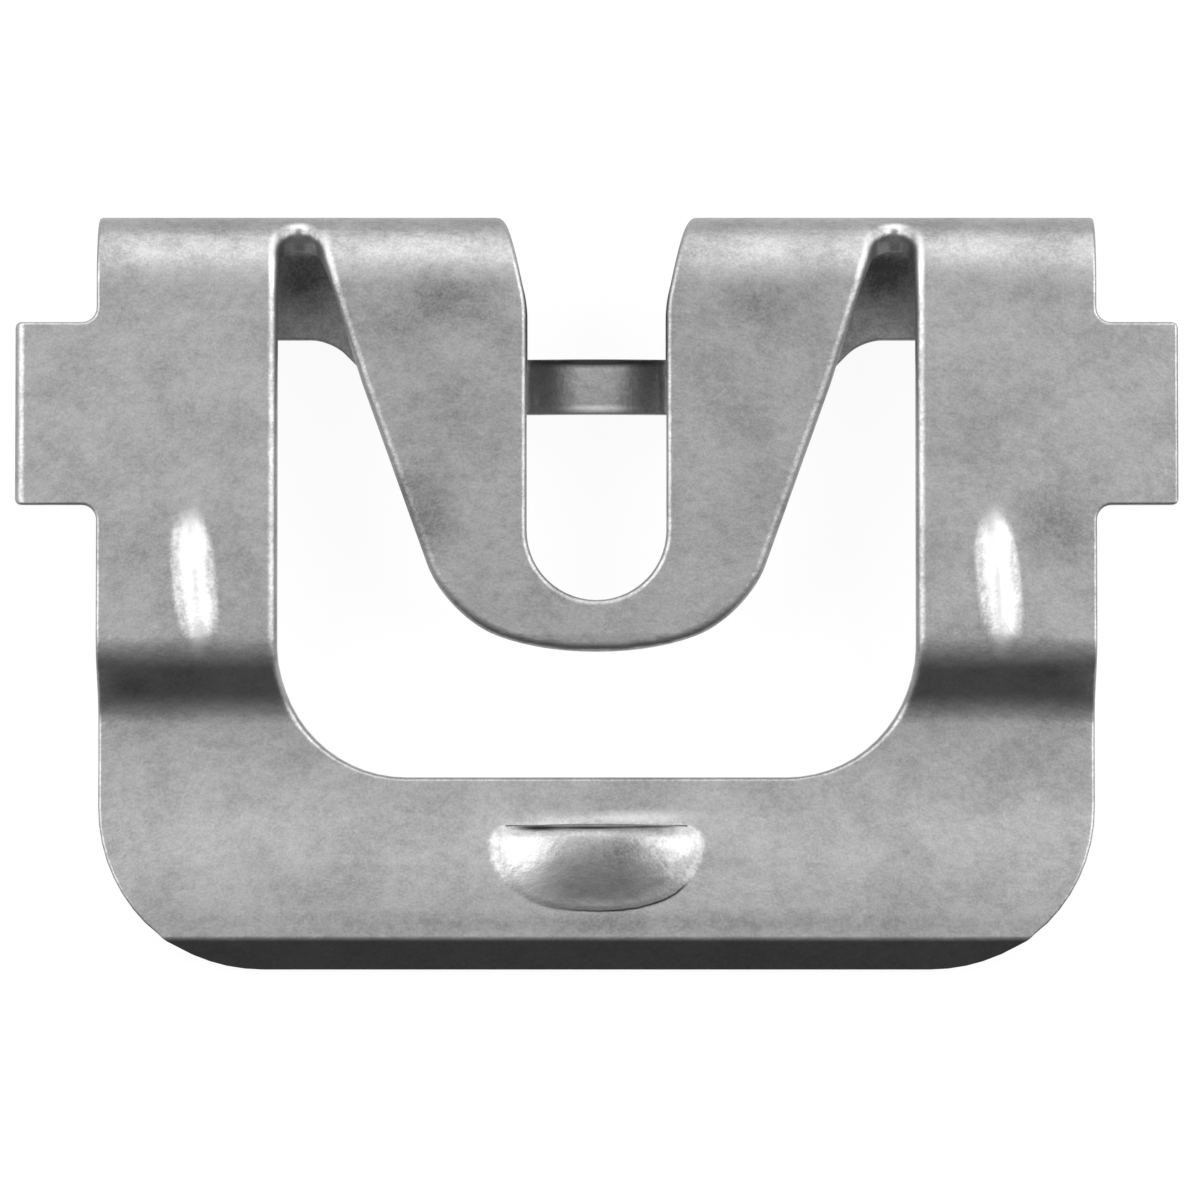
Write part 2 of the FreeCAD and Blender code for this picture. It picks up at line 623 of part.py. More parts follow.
def half_dome(dome, height, width, length):
    """Keep the quarter of an ellipsoid that rises in front and runs down from the lanced edge."""
    for name, size in (("Radius1", height), ("Radius2", width), ("Radius3", length)):
        dome.setExpression(name, size.text)
    dome.Angle1, dome.Angle2, dome.Angle3 = -90, 0, 180


def beads(body, s):
    """A stiffening bead pressed out of each leg, with its hollow behind."""
    surface = Size(0, "(SidePath.Constraints.bead_seat / 1 mm)") + s.sheet_thickness / 2
    for name, hand in (("Right", 1), ("Left", -1)):
        across = (s.window_x + s.bead_inset) * hand
        bead = body.newObject("PartDesign::AdditiveEllipsoid", f"{name}Bead")
        attach(bead, body, "XY_Plane", (across, -s.bead_drop, surface - s.bead_root), -s.leg_rise)
        height = s.bead_height + s.bead_root
        depth_share = s.bead_root / height
        at_surface = root(as_size(1) - depth_share * depth_share)
        for radius, size in (("Radius1", height), ("Radius2", s.bead_width / 2 / at_surface),
                             ("Radius3", s.bead_length / 2 / at_surface)):
            bead.setExpression(radius, size.text)
        bead.Angle1, bead.Angle2, bead.Angle3 = 0, 90, 360
        hollow = body.newObject("PartDesign::SubtractiveEllipsoid", f"{name}BeadHollow")
        attach(hollow, body, "XY_Plane", (across, -s.bead_drop, surface - s.sheet_thickness), -s.leg_rise)
        for radius, size in (("Radius1", s.bead_height), ("Radius2", s.bead_width / 2),
                             ("Radius3", s.bead_length / 2)):
            hollow.setExpression(radius, size.text)
        hollow.Angle1, hollow.Angle2, hollow.Angle3 = -90, 90, 360
    return hollow


def lip_bend(body, s):
    """The outside of the lip's bend."""
    def is_bend(edge):
        return all(abs(vertex.Y + s.lip_line_drop.value) < LENGTH_MATCH
                   and abs(vertex.Z + s.crown_depth.value) < LENGTH_MATCH for vertex in edge.Vertexes)

    return rounded(body, "LipBend", is_bend, s.lip_bend_radius)


def rest_angle(s):
    """The tilt at which the clip lies on its back plate's lower edge and the lip's back corner."""
    down, turn = sine(s.lip_angle), cosine(s.lip_angle)
    lip_drop = s.lip_line_drop + s.lip_length * turn - s.sheet_thickness * down
    lip_depth = s.crown_depth + s.lip_length * down + s.sheet_thickness * turn
    rise = s.fold_radius * 2 - lip_depth
    return math.degrees(math.atan2(rise.value, (lip_drop - s.bar_bottom_drop).value))


def lay_down(body, s):
    """Turn the clip as it lies on a table, over the middle of its footprint."""
    turn = FreeCAD.Rotation(FreeCAD.Vector(1, 0, 0), rest_angle(s))
    body.Placement = FreeCAD.Placement(FreeCAD.Vector(), turn)
    box = body.Shape.optimalBoundingBox(True, False)
    middle = FreeCAD.Vector((box.XMin + box.XMax) / 2, (box.YMin + box.YMax) / 2, box.ZMin)
    body.Placement = FreeCAD.Placement(-middle, turn)


def check(doc, body):
    """Stop unless every object worked out and the clip is one sound solid."""
    for item in doc.Objects:
        if "Invalid" in item.State or "Error" in item.State:
            raise RuntimeError(f"{item.Name} is {item.State}")
    shape = body.Shape
    if shape.isNull() or not shape.isValid() or len(shape.Solids) != 1:
        raise RuntimeError(f"{body.Label} is not one valid solid")


def check_features(body):
    """Stop if a cut took nothing away, or an added piece added nothing."""
    before = 0
    for item in body.Group:
        if item.TypeId == "Sketcher::SketchObject":
            continue
        volume = item.Shape.Volume
        is_cut = item.TypeId in CUTS
        if item.TypeId != "PartDesign::Fillet" and (volume < before) != is_cut:
            raise RuntimeError(f"{item.Name} changed the volume from {before} to {volume}")
        before = volume


def make_clip(doc, s):
    body = doc.addObject("PartDesign::Body", "clip")
    body.Label = "clip"
    for feature in (folded_strip, trimmed_sides, window, stud_tongue, apexes, apex_rounds, apex_feet,
                    stud_slot, back_plate, locking_bar, lip, lip_bend, beads, scoop):
        feature(body, s)
    doc.recompute()
    check(doc, body)
    check_features(body)
    lay_down(body, s)
    doc.recompute()
    check(doc, body)
    return body


def main():
    doc = FreeCAD.newDocument("MoldingClip")
    clip = make_clip(doc, make_sheet(doc))
    os.makedirs("parts", exist_ok=True)
    clip.Shape.exportStep(f"parts/{clip.Label}.step")
    box = clip.Shape.optimalBoundingBox(True, False)
    sides = " x ".join(f"{side:.3f}" for side in (box.XLength, box.YLength, box.ZLength))
    print(f"{clip.Label}: {sides} mm, {clip.Shape.Volume:.3f} mm3")


main()
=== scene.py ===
"""The looks of a molding clip: one folded strip of dull plated spring steel, on a pale table."""

import json
import math

import bmesh
import bpy
from bpy.props import FloatProperty, FloatVectorProperty, PointerProperty
from mathutils import Matrix, Vector


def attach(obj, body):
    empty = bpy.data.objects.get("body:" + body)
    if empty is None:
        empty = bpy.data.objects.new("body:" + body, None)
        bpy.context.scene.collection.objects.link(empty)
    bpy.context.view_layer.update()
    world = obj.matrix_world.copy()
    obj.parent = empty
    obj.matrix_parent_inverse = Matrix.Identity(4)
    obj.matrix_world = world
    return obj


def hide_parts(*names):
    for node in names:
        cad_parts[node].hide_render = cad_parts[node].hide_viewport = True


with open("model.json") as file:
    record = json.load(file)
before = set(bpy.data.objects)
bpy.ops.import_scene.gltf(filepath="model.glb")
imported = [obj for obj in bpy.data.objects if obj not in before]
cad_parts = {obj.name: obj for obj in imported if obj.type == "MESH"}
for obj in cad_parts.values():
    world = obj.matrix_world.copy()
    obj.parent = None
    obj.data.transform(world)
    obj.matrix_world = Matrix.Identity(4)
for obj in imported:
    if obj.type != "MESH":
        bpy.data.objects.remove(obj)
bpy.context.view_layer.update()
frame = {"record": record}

bl_info = {
    "name": "Molding Clip",
    "version": (1, 0, 0),
    "blender": (4, 5, 0),
    "location": "View3D > Sidebar > Molding Clip",
    "description": "Dresses a folded spring steel molding clip and sets up its photograph",
    "category": "Object",
}

MM = 0.001
CAD_NODE = "clip"
PIECE = "clip_sheet"

# The stud slot's round end gives the tongue's place and the way it faces.
SLOT = next(mount for mount in frame["record"]["mounts"] if mount["name"] == "stud_slot")
TONGUE_NORMAL = Vector(SLOT["axis"]).normalized()
TONGUE_UP = TONGUE_NORMAL.cross(Vector((1, 0, 0))).normalized()

# The clip's own frame, in millimetres: x across, y up with 0 at the fold's top, and z out of the
# tongue's face. The middle of the slot's end lies SLOT_DROP below the fold's top.
SHEET = SLOT["dims"]["length_mm"]
SLOT_RADIUS = SLOT["dims"]["r_mm"]
SLOT_DROP = 8.6
OWN_TURN = Matrix((Vector((1, 0, 0)), TONGUE_UP, TONGUE_NORMAL)).transposed()
OWN_ORIGIN = Vector(SLOT["pos_m"]) + (TONGUE_UP * SLOT_DROP + TONGUE_NORMAL * (SHEET / 2)) * MM
TO_ROW = Matrix.Translation(OWN_ORIGIN) @ OWN_TURN.to_4x4() @ Matrix.Scale(MM, 4)

# How far a painted spot reaches in front of its middle and behind it, in millimetres.
SPOT_DEPTH = 2


class Signal:
    """A number on its way through a node tree; sums and products add the nodes that work them out."""

    def __init__(self, nodes, socket):
        self.nodes = nodes
        self.socket = socket

    def maths(self, operation, *values):
        return self.nodes.add("ShaderNodeMath", dict(enumerate(values)), operation=operation)

    def __add__(self, other):
        return self.maths("ADD", self, other)

    def __radd__(self, other):
        return self.maths("ADD", other, self)

    def __sub__(self, other):
        return self.maths("SUBTRACT", self, other)

    def __rsub__(self, other):
        return self.maths("SUBTRACT", other, self)

    def __mul__(self, other):
        return self.maths("MULTIPLY", self, other)

    def __rmul__(self, other):
        return self.maths("MULTIPLY", other, self)

    def smooth(self, low, high):
        """0 below low, 1 above high, and an even change between."""
        return self.nodes.add("ShaderNodeMapRange", {"Value": self, "From Min": low, "From Max": high},
                              interpolation_type="SMOOTHSTEP")


class Nodes:
    """The node tree of a material or of the world."""

    def __init__(self, owner):
        owner.use_nodes = True
        self.tree = owner.node_tree
        self.tree.nodes.clear()

    def add(self, kind, inputs, output=0, **settings):
        """Add a node: its settings first, then the values or links of its inputs."""
        node = self.tree.nodes.new(kind)
        for name, value in settings.items():
            setattr(node, name, value)
        for key, value in inputs.items():
            if isinstance(value, Signal):
                self.tree.links.new(value.socket, node.inputs[key])
            else:
                node.inputs[key].default_value = value
        return Signal(self, node.outputs[output] if node.outputs else None)

    def place(self):
        """The object's own coordinates."""
        return self.add("ShaderNodeTexCoord", {}, "Object")

    def noise(self, size, detail=2.0, roughness=0.5, offset=(0, 0, 0)):
        """Noise whose blobs are about as large as size, in metres."""
        shifted = self.add("ShaderNodeMapping", {"Vector": self.place(), "Location": offset})
        inputs = {"Vector": shifted, "Scale": 1 / size, "Detail": detail, "Roughness": roughness}
        return self.add("ShaderNodeTexNoise", inputs, "Fac")

    def own_place(self, origin, size):
        """Where a point lies from an origin of the clip's own frame, in sizes given in millimetres."""
        return self.add("ShaderNodeMapping", {
            "Vector": self.place(), "Location": TO_ROW @ Vector(origin), "Rotation": OWN_TURN.to_euler(),
            "Scale": Vector(size) * MM}, vector_type="TEXTURE")

    def spot(self, place, size):
        """1 at a place of the clip's own frame, and an even fall to 0 at an ellipsoid round it."""
        away = self.own_place(place, (*size, SPOT_DEPTH))
        return self.add("ShaderNodeVectorMath", {0: away}, "Value", operation="LENGTH").smooth(1, 0)

    def mixed(self, factor, first, second):
        """A colour between two colours."""
        return self.add("ShaderNodeMix", {0: factor, 6: first, 7: second}, 2, data_type="RGBA")


def grey(level, warmth=0.0):
    """A grey; warmth adds a little red and takes away as much blue."""
    return (level * (1 + warmth), level, level * (1 - warmth), 1)


def deselect():
    """Go back to object mode, with nothing selected."""
    if bpy.context.mode != "OBJECT":
        bpy.ops.object.mode_set(mode="OBJECT")
    bpy.ops.object.select_all(action="DESELECT")


def activate(item):
    """Select one object alone and work on it."""
    deselect()
    item.select_set(True)
    bpy.context.view_layer.objects.active = item


def finished(name, kind, item, **settings):
    """Add a modifier and apply it."""
    activate(item)
    modifier = item.modifiers.new(name, kind)
    for key, value in settings.items():
        setattr(modifier, key, value)
    bpy.ops.object.modifier_apply(modifier=name)


class ClipSizes(bpy.types.PropertyGroup):
    """Sizes of what the press leaves on the sheet."""

    rolled_rim: FloatProperty(
        name="Rolled rim", description="Rounding of the sheet's outer edges where the die pulled them in",
        default=0.29 * MM, unit="LENGTH", precision=5)
    broken_rim: FloatProperty(
        name="Broken rim", description="Rounding of the sheet's inner edges",
        default=0.06 * MM, unit="LENGTH", precision=5)
    bead_height: FloatProperty(
        name="Bead height", description="Height of the two beads on the legs",
        default=0.2 * MM, unit="LENGTH", precision=5)
    scoop_height: FloatProperty(
        name="Scoop height", description="Height of the lanced scoop on the cross bar",
        default=0.62 * MM, unit="LENGTH", precision=5)
    bar_bow: FloatProperty(
        name="Bar bow", description="How far the locking bar bows towards the tongue",
        default=0.5 * MM, unit="LENGTH", precision=5)
    grain: FloatProperty(
        name="Grain", description="Depth of the plating's fine grain",
        default=0.004 * MM, unit="LENGTH", precision=6)


class ClipColours(bpy.types.PropertyGroup):
    """Colours of the plating, of the shade, shadow lines and highlights painted on it, and of the stage.
    """

    plating: FloatVectorProperty(
        name="Plating", description="Colour of the clean plating", subtype="COLOR", size=4,
        min=0, max=1, default=grey(0.36))
    # The darker mottles and the painted shade both take this colour.
    darkened: FloatVectorProperty(
        name="Darkened", description="Colour of the darker mottles", subtype="COLOR", size=4,
        min=0, max=1, default=grey(0.1, 0.004))
    # The colour of the painted shadow lines in the creases.
    painted_shadow: FloatVectorProperty(
        name="Shadow", description="Colour of the dark lines in the creases", subtype="COLOR", size=4,
        min=0, max=1, default=grey(0.03))
    # The colour of the painted highlights on crests and rims.
    burnished: FloatVectorProperty(
        name="Highlight", description="Colour of the crests and rims that are rubbed bright",
        subtype="COLOR", size=4, min=0, max=1, default=grey(0.85))
    table: FloatVectorProperty(
        name="Table", description="Colour of the table", subtype="COLOR", size=4,
        min=0, max=1, default=grey(0.8))


# The blank is drawn in millimetres, as the sheet lies before it is bent: x across it, v up it and w
# through it, with 0 at the sheet's outer face. On the tongue and the legs v is y.
# The fold: its radius at the outer face and at the middle of the sheet, which keeps its length.
FOLD_RADIUS = 1.9
FOLD_MIDDLE = 1.5
FOLD_START = -FOLD_RADIUS
FOLD_END = FOLD_START + math.pi * FOLD_MIDDLE
# Behind the fold the sheet is pinched inwards a little before it runs flat.
PINCH_START = FOLD_START + math.pi / 2 * FOLD_MIDDLE
PINCH_END = 4.2
PINCH = 0.3
# The lip, whose blank is stretched because its tilt makes it look shorter in the photograph.
LIP_LINE = -19.8
LIP_TILT = -55.0
LIP_BEND = 0.2
LIP_STRETCH = 1.726
# Its bend starts above its line, and has a sharp corner on the inner side.
LIP_START = LIP_LINE + 0.104
LIP_INSIDE = Vector((0, -19.393, -1.058))
# The slit that frees the upper edge of the scoop.
SLIT = -16.7
SLIT_WIDTH = 0.02

# Right halves of the outlines: each corner's x, v and radius. The arcs of the slot's round end stay a
# hair short of each other.
BLANK = (
    (13.65, -20.66, 4.5), (13.65, -7.92, 0.4), (15.875, -7.92, 0), (15.875, -2.92, 0),
    (13.65, -2.92, 0.4), (13.65, 4.242, 0), (7.34, 4.242, 1.3), (5.27, 6.312, 0))
WINDOW = (
    (8.72, -15.38, 3.5), (8.72, -0.82, 0.7), (8.15, -0.26, 0.32), (7.58, -0.82, 0.8), (7.26, -1.9, 0),
    (6.4, -4.6, 0), (4.12, -10.95, 3.2), (0, -12.53, 7.5))
STUD_SLOT = (
    (SLOT_RADIUS, -10.51, SLOT_RADIUS * 0.999), (SLOT_RADIUS, -2.35, 3), (2.6, 0.456, 0),
    (SLOT_RADIUS, 3.262, 3), (SLOT_RADIUS, 4.792, 0))
SCOOP_SLIT = ((2.48, SLIT - SLIT_WIDTH / 2, 0), (2.48, SLIT + SLIT_WIDTH / 2, 0))

# The side view of the legs below the fold: how far they run straight, the next bend's radius (less than
# 0 where it is hollow) and the tilt that it ends with, in degrees towards the fold.
LEG_BENDS = (
    (0, -12, 3.5), (8.785, 1.3, -47), (0.597, -1.3, 0), (0.3, -12, 13.466), (0, 11.645, 0.5),
    (0, LIP_BEND, LIP_TILT))
# The tongue lies within this far of the middle, above this v, and stays flat.
TONGUE_SIDE = 8
TONGUE_END = -14

# The beads: the middle of the right one, half its width and height, and how far both lean.
BEAD_PLACE = Vector((10.95, -10.0))
BEAD_SIZE = Vector((0.66, 2.05))
BEAD_LEAN = 0.09
# The scoop: half its width and its height below the slit, the crest's place as a share of that height,
# how steeply it falls back to the slit, how full its ends are, how softly it runs out, and the height
# and width of the step round its foot.
SCOOP_SIZE = Vector((2.92, 2.3))
SCOOP_CREST = 0.2
SCOOP_BACK = 2.75
SCOOP_FULLNESS = 2.6
SCOOP_RUNOUT = 1.8
SCOOP_CREASE = 0.05
SCOOP_CREASE_WIDTH = 0.09
# Above the slit the sheet is drawn up by this much, over this reach.
DRAWN_UP = 0.1
DRAWN_REACH = 0.4

# Outer rims as shares of the full rounding, since the photograph shows wide and narrow ones. A zone is
# half its width, its lowest v and its highest v. Two of the rims narrow by a share, below a v, over a
# reach. The tongue's tip keeps its full rim, within this far of the middle and above this v.
SLOT_ZONE = (2.8, -10.6, 4.8)
SLOT_RIM = 0.55
ROLLED_EAR_END = -15.8
WINDOW_ZONE = (8.8, -15.5, 0)
TONGUE_TIP = (4.9, -13)
WINDOW_RIM_FALL = (0.65, -12, 3.38)
OUTLINE_RIM = 0.33
OUTLINE_RIM_FALL = (0.25, -18.5, 2.5)
NARROWEST_RIM = 0.08
# The slit's rims as a share of the broken rim, and the ears' corners, from an x on.
SLIT_RIM = 0.3
EAR_CORNERS = 15
EAR_CORNER_RIM = 0.6

# How finely the sheet is divided: steps round the corners of an outline, with fewer below a radius,
# round a rim, round the fold and along the pinch; and the most degrees in a step of any other bend.
CORNER_STEPS = 14
SMALL_CORNER_STEPS = 6
SMALL_CORNER = 1
RIM_STEPS = 4
FOLD_STEPS = 24
PINCH_STEPS = 8
BEND_STEP = 4
# Patches that are divided into cells before they are embossed: two corners and a cell's size.
BEAD_MARGIN = Vector((0.2, 0.1))
BEAD_CELL = (0.06, 0.12)
SCOOP_PATCH = ((-3.2, -19.3), (3.2, -16.2), (0.11, 0.075))
BAR_PATCH = ((-SLOT_RADIUS, 4.7), (SLOT_RADIUS, 6.4), (0.2, 0.8))
# How far a punch stands out of the blank, what counts as on a face, what lies beyond both sides of the
# blank, and how close two points are before they are one.
PUNCH_REACH = 1
ON_FACE = 0.01
BEYOND = 99
HAIR = 0.0005
MERGE = 0.0008
# Degrees: a sharper edge gets a rim, and one sharper than the second isn't shaded smooth.
RIM_ANGLE = 50
SMOOTH_ANGLE = 35


def drawn(name, half, low, high):
    """A plate whose outline is a half outline and its mirror image, from low to high."""
    corners = list(half) + [(-x, v, radius) for x, v, radius in reversed(half) if x]
    deselect()
    bpy.ops.mesh.primitive_circle_add(vertices=len(corners), fill_type="NGON")
    plate = bpy.context.object
    plate.name = name
    for vertex, (x, v, radius) in zip(plate.data.vertices, corners):
        vertex.co = x, v, low
    count = len(corners)
    for index, (x, v, radius) in enumerate(corners):
        if radius:
            last, here, following = (Vector(corners[(index + i) % count][:2]) for i in (-1, 0, 1))
            corner_angle = (last - here).angle(following - here)
            round_corner(plate, Vector((x, v, low)), radius / math.tan(corner_angle / 2), radius)
    bpy.ops.object.mode_set(mode="EDIT")
    bpy.ops.mesh.select_all(action="SELECT")
    bpy.ops.mesh.extrude_region_move(TRANSFORM_OT_translate={"value": (0, 0, high - low)})
    bpy.ops.mesh.select_all(action="SELECT")
    bpy.ops.mesh.normals_make_consistent(inside=False)
    bpy.ops.object.mode_set(mode="OBJECT")
    return plate


def round_corner(plate, place, reach, radius):
    """Bevel the flat outline's corner at a place."""
    bpy.ops.object.mode_set(mode="EDIT")
    bpy.ops.mesh.select_all(action="DESELECT")
    mesh = bmesh.from_edit_mesh(plate.data)
    min(mesh.verts, key=lambda vertex: (vertex.co - place).length).select_set(True)
    bmesh.update_edit_mesh(plate.data)
    steps = SMALL_CORNER_STEPS if radius < SMALL_CORNER else CORNER_STEPS
    bpy.ops.mesh.bevel(affect="VERTICES", offset=reach, segments=steps)
    bpy.ops.object.mode_set(mode="OBJECT")


def cut_out(plate, name, half):
    """Punch an outline through the plate."""
    punch = drawn(name, half, -SHEET - PUNCH_REACH, PUNCH_REACH)
    finished(name, "BOOLEAN", plate, operation="DIFFERENCE", solver="EXACT", object=punch)
    bpy.data.objects.remove(punch)


def within(place, zone):
    """Whether a point of the blank lies in a zone."""
    side, low, high = zone
    return abs(place.x) < side and low < place.y < high


def narrowing(v, fall):
    """How much narrower a rim is at v than at its widest."""
    share, start, reach = fall
    return share * max(0.0, (start - v) / reach)


def rim_share(place):
    """How much of the full rounding an outer edge has."""
    if within(place, SLOT_ZONE):
        return SLOT_RIM
    if place.x < ROLLED_EAR_END:
        return 1.0
    if within(place, WINDOW_ZONE):
        side, end = TONGUE_TIP
        beside = abs(place.x) > side or place.y < end
        return 1 - narrowing(place.y, WINDOW_RIM_FALL) if beside else 1.0
    return max(NARROWEST_RIM, OUTLINE_RIM - narrowing(place.y, OUTLINE_RIM_FALL))


def weigh_rims(plate, sizes):
    """Mark the edges of the plate for rounding: wide on its outer face, narrow on its inner one."""
    mesh = bmesh.new()
    mesh.from_mesh(plate.data)
    weight = mesh.edges.layers.float.new("bevel_weight_edge")
    narrow = sizes.broken_rim / sizes.rolled_rim
    for edge in mesh.edges:
        if len(edge.link_faces) != 2 or edge.calc_face_angle() < math.radians(RIM_ANGLE):
            continue
        middle = (edge.verts[0].co + edge.verts[1].co) / 2
        if abs(middle.y - SLIT) < SLIT_WIDTH and abs(middle.x) < SCOOP_SIZE.x + SLIT_WIDTH:
            edge[weight] = narrow * SLIT_RIM
        elif middle.z > -ON_FACE:
            edge[weight] = rim_share(middle)
        elif middle.z < ON_FACE - SHEET:
            edge[weight] = narrow
        elif abs(middle.x) > EAR_CORNERS:
            edge[weight] = EAR_CORNER_RIM
    mesh.to_mesh(plate.data)
    mesh.free()


def bend_lines():
    """Where the sheet is bent, as the v of each narrow strip's end."""
    lines = [FOLD_START + (FOLD_END - FOLD_START) * step / FOLD_STEPS for step in range(FOLD_STEPS + 1)]
    lines += [FOLD_END + (PINCH_END - FOLD_END) * (step + 1) / PINCH_STEPS for step in range(PINCH_STEPS)]
    for start, radius, tilt, _, end_tilt in side_view():
        steps = max(1, math.ceil(abs(end_tilt - tilt) / BEND_STEP))
        for step in range(steps + 1):
            turned = math.radians(tilt + (end_tilt - tilt) * step / steps)
            if radius == LIP_BEND:
                lines.append(LIP_START - radius * (math.radians(tilt) - turned))
            else:
                lines.append(start.y + radius * (math.sin(turned) - math.sin(math.radians(tilt))))
    return lines


def side_view():
    """The legs' bends in turn: the bend's start, radius, first tilt, centre and last tilt."""
    here, tilt, bends = Vector((0, FOLD_START, 0)), 0, []
    for run, radius, end_tilt in LEG_BENDS:
        here = here + Vector((0, -run, run * math.tan(math.radians(tilt))))
        centre = here - facing(tilt) * radius
        bends.append((here, radius, tilt, centre, end_tilt))
        here = centre + facing(end_tilt) * radius
        tilt = end_tilt
    return bends


def facing(tilt):
    """The way that the sheet's outer face looks at a tilt in degrees."""
    return Vector((0, math.sin(math.radians(tilt)), math.cos(math.radians(tilt))))


def on_leg(v, bends):
    """The outer face's place and tilt on a leg, the cross bar or the lip."""
    if v < LIP_START:
        _, radius, tilt, centre, end_tilt = bends[-1]
        bend_length = radius * math.radians(tilt - end_tilt)
        turned = max(end_tilt, tilt - math.degrees((LIP_START - v) / radius))
        rest = max(0.0, LIP_START - v - bend_length)
        along = Vector((0, -math.cos(math.radians(turned)), math.sin(math.radians(turned))))
        return centre + facing(turned) * radius + along * rest, turned
    for start, radius, tilt, centre, end_tilt in bends:
        end = centre.y + radius * math.sin(math.radians(end_tilt))
        if v > start.y:
            return Vector((0, v, start.z - (v - start.y) * math.tan(math.radians(tilt)))), tilt
        if v >= end:
            turned = math.degrees(math.asin((v - centre.y) / radius))
            return Vector((0, v, centre.z + radius * math.cos(math.radians(turned)))), turned
    return centre + facing(end_tilt) * radius, end_tilt


def on_outer_face(x, v, bends):
    """Where a point of the blank's outer face goes, and the tilt there."""
    if v > FOLD_START:
        turned = min((v - FOLD_START) / FOLD_MIDDLE, math.pi)
        place = Vector((0, FOLD_START - max(0.0, v - FOLD_END), -FOLD_RADIUS))
        return place + facing(math.degrees(turned)) * FOLD_RADIUS, math.degrees(turned)
    if abs(x) < TONGUE_SIDE and v > TONGUE_END:
        return Vector((0, v, 0)), 0
    return on_leg(v, bends)


def raised(x, v, sizes):
    """How far the press pushed a point of the sheet outwards."""
    across = (abs(x + BEAD_LEAN * (v - BEAD_PLACE.y)) - BEAD_PLACE.x) / BEAD_SIZE.x
    inside = 1 - across ** 2 - abs((v - BEAD_PLACE.y) / BEAD_SIZE.y) ** 3
    if inside > 0:
        return sizes.bead_height / MM * inside ** 2
    if PINCH_START < v < PINCH_END:
        return -PINCH * math.sin(math.pi * (v - PINCH_START) / (PINCH_END - PINCH_START)) ** 2
    if v > FOLD_END and abs(x) < SLOT_RADIUS:
        return -sizes.bar_bow / MM * (1 - (x / SLOT_RADIUS) ** 2)
    side = x / SCOOP_SIZE.x
    if SLIT < v < SLIT + DRAWN_REACH and abs(side) < 1:
        return DRAWN_UP * (1 - side ** 2) * (1 - (v - SLIT) / DRAWN_REACH) ** 2
    fall = (SLIT - v) / SCOOP_SIZE.y
    if 0 < fall < 1:
        if fall > SCOOP_CREST:
            fall = (fall - SCOOP_CREST) / (1 - SCOOP_CREST)
        else:
            fall = (SCOOP_CREST - fall) * SCOOP_BACK
        inside = 1 - abs(side) ** SCOOP_FULLNESS - fall ** 2
        if inside > 0:
            crease = SCOOP_CREASE * min(1.0, inside / SCOOP_CREASE_WIDTH)
            return sizes.scoop_height / MM * inside ** SCOOP_RUNOUT + crease
    return 0


def folded(point, bends, sizes):
    """Where a point of the blank goes when the sheet is bent."""
    x, v, w = point
    front, tilt = on_outer_face(x, v, bends)
    back = front - facing(tilt) * SHEET
    if LIP_START <= v < FOLD_START:
        back = front - Vector((0, 0, SHEET / math.cos(math.radians(tilt))))
    beyond = back.y - LIP_INSIDE.y
    if v < SLIT and (beyond < 0 if v >= LIP_START else tilt > LIP_TILT or beyond > 0):
        back = LIP_INSIDE
    place = front.lerp(back, -w / SHEET) + facing(tilt) * raised(x, v, sizes)
    return place + Vector((x, 0, 0))


def score(plate, way, place, low=None, high=None):
    """Divide the plate's faces along a line, all of them or those between two corners."""
    bpy.ops.mesh.select_all(action="DESELECT")
    mesh = bmesh.from_edit_mesh(plate.data)
    for face in mesh.faces:
        middle = face.calc_center_median()
        if low is None or (low[0] < middle.x < high[0] and low[1] < middle.y < high[1]):
            face.select_set(True)
    bmesh.update_edit_mesh(plate.data)
    across = Vector((1, 0, 0)) if way == "x" else Vector((0, 1, 0))
    bpy.ops.mesh.bisect(plane_co=across * place, plane_no=across, threshold=HAIR)


def score_patch(plate, low, high, cell):
    """Divide a patch of the plate into cells of about a width and a height."""
    for place in (low[1], high[1]):
        score(plate, "v", place)
    for place in (low[0], high[0]):
        score(plate, "x", place, (-BEYOND, low[1]), (BEYOND, high[1]))
    for axis, way in enumerate("xv"):
        steps = round((high[axis] - low[axis]) / cell[axis])
        for index in range(1, steps):
            score(plate, way, low[axis] + (high[axis] - low[axis]) * index / steps, low, high)


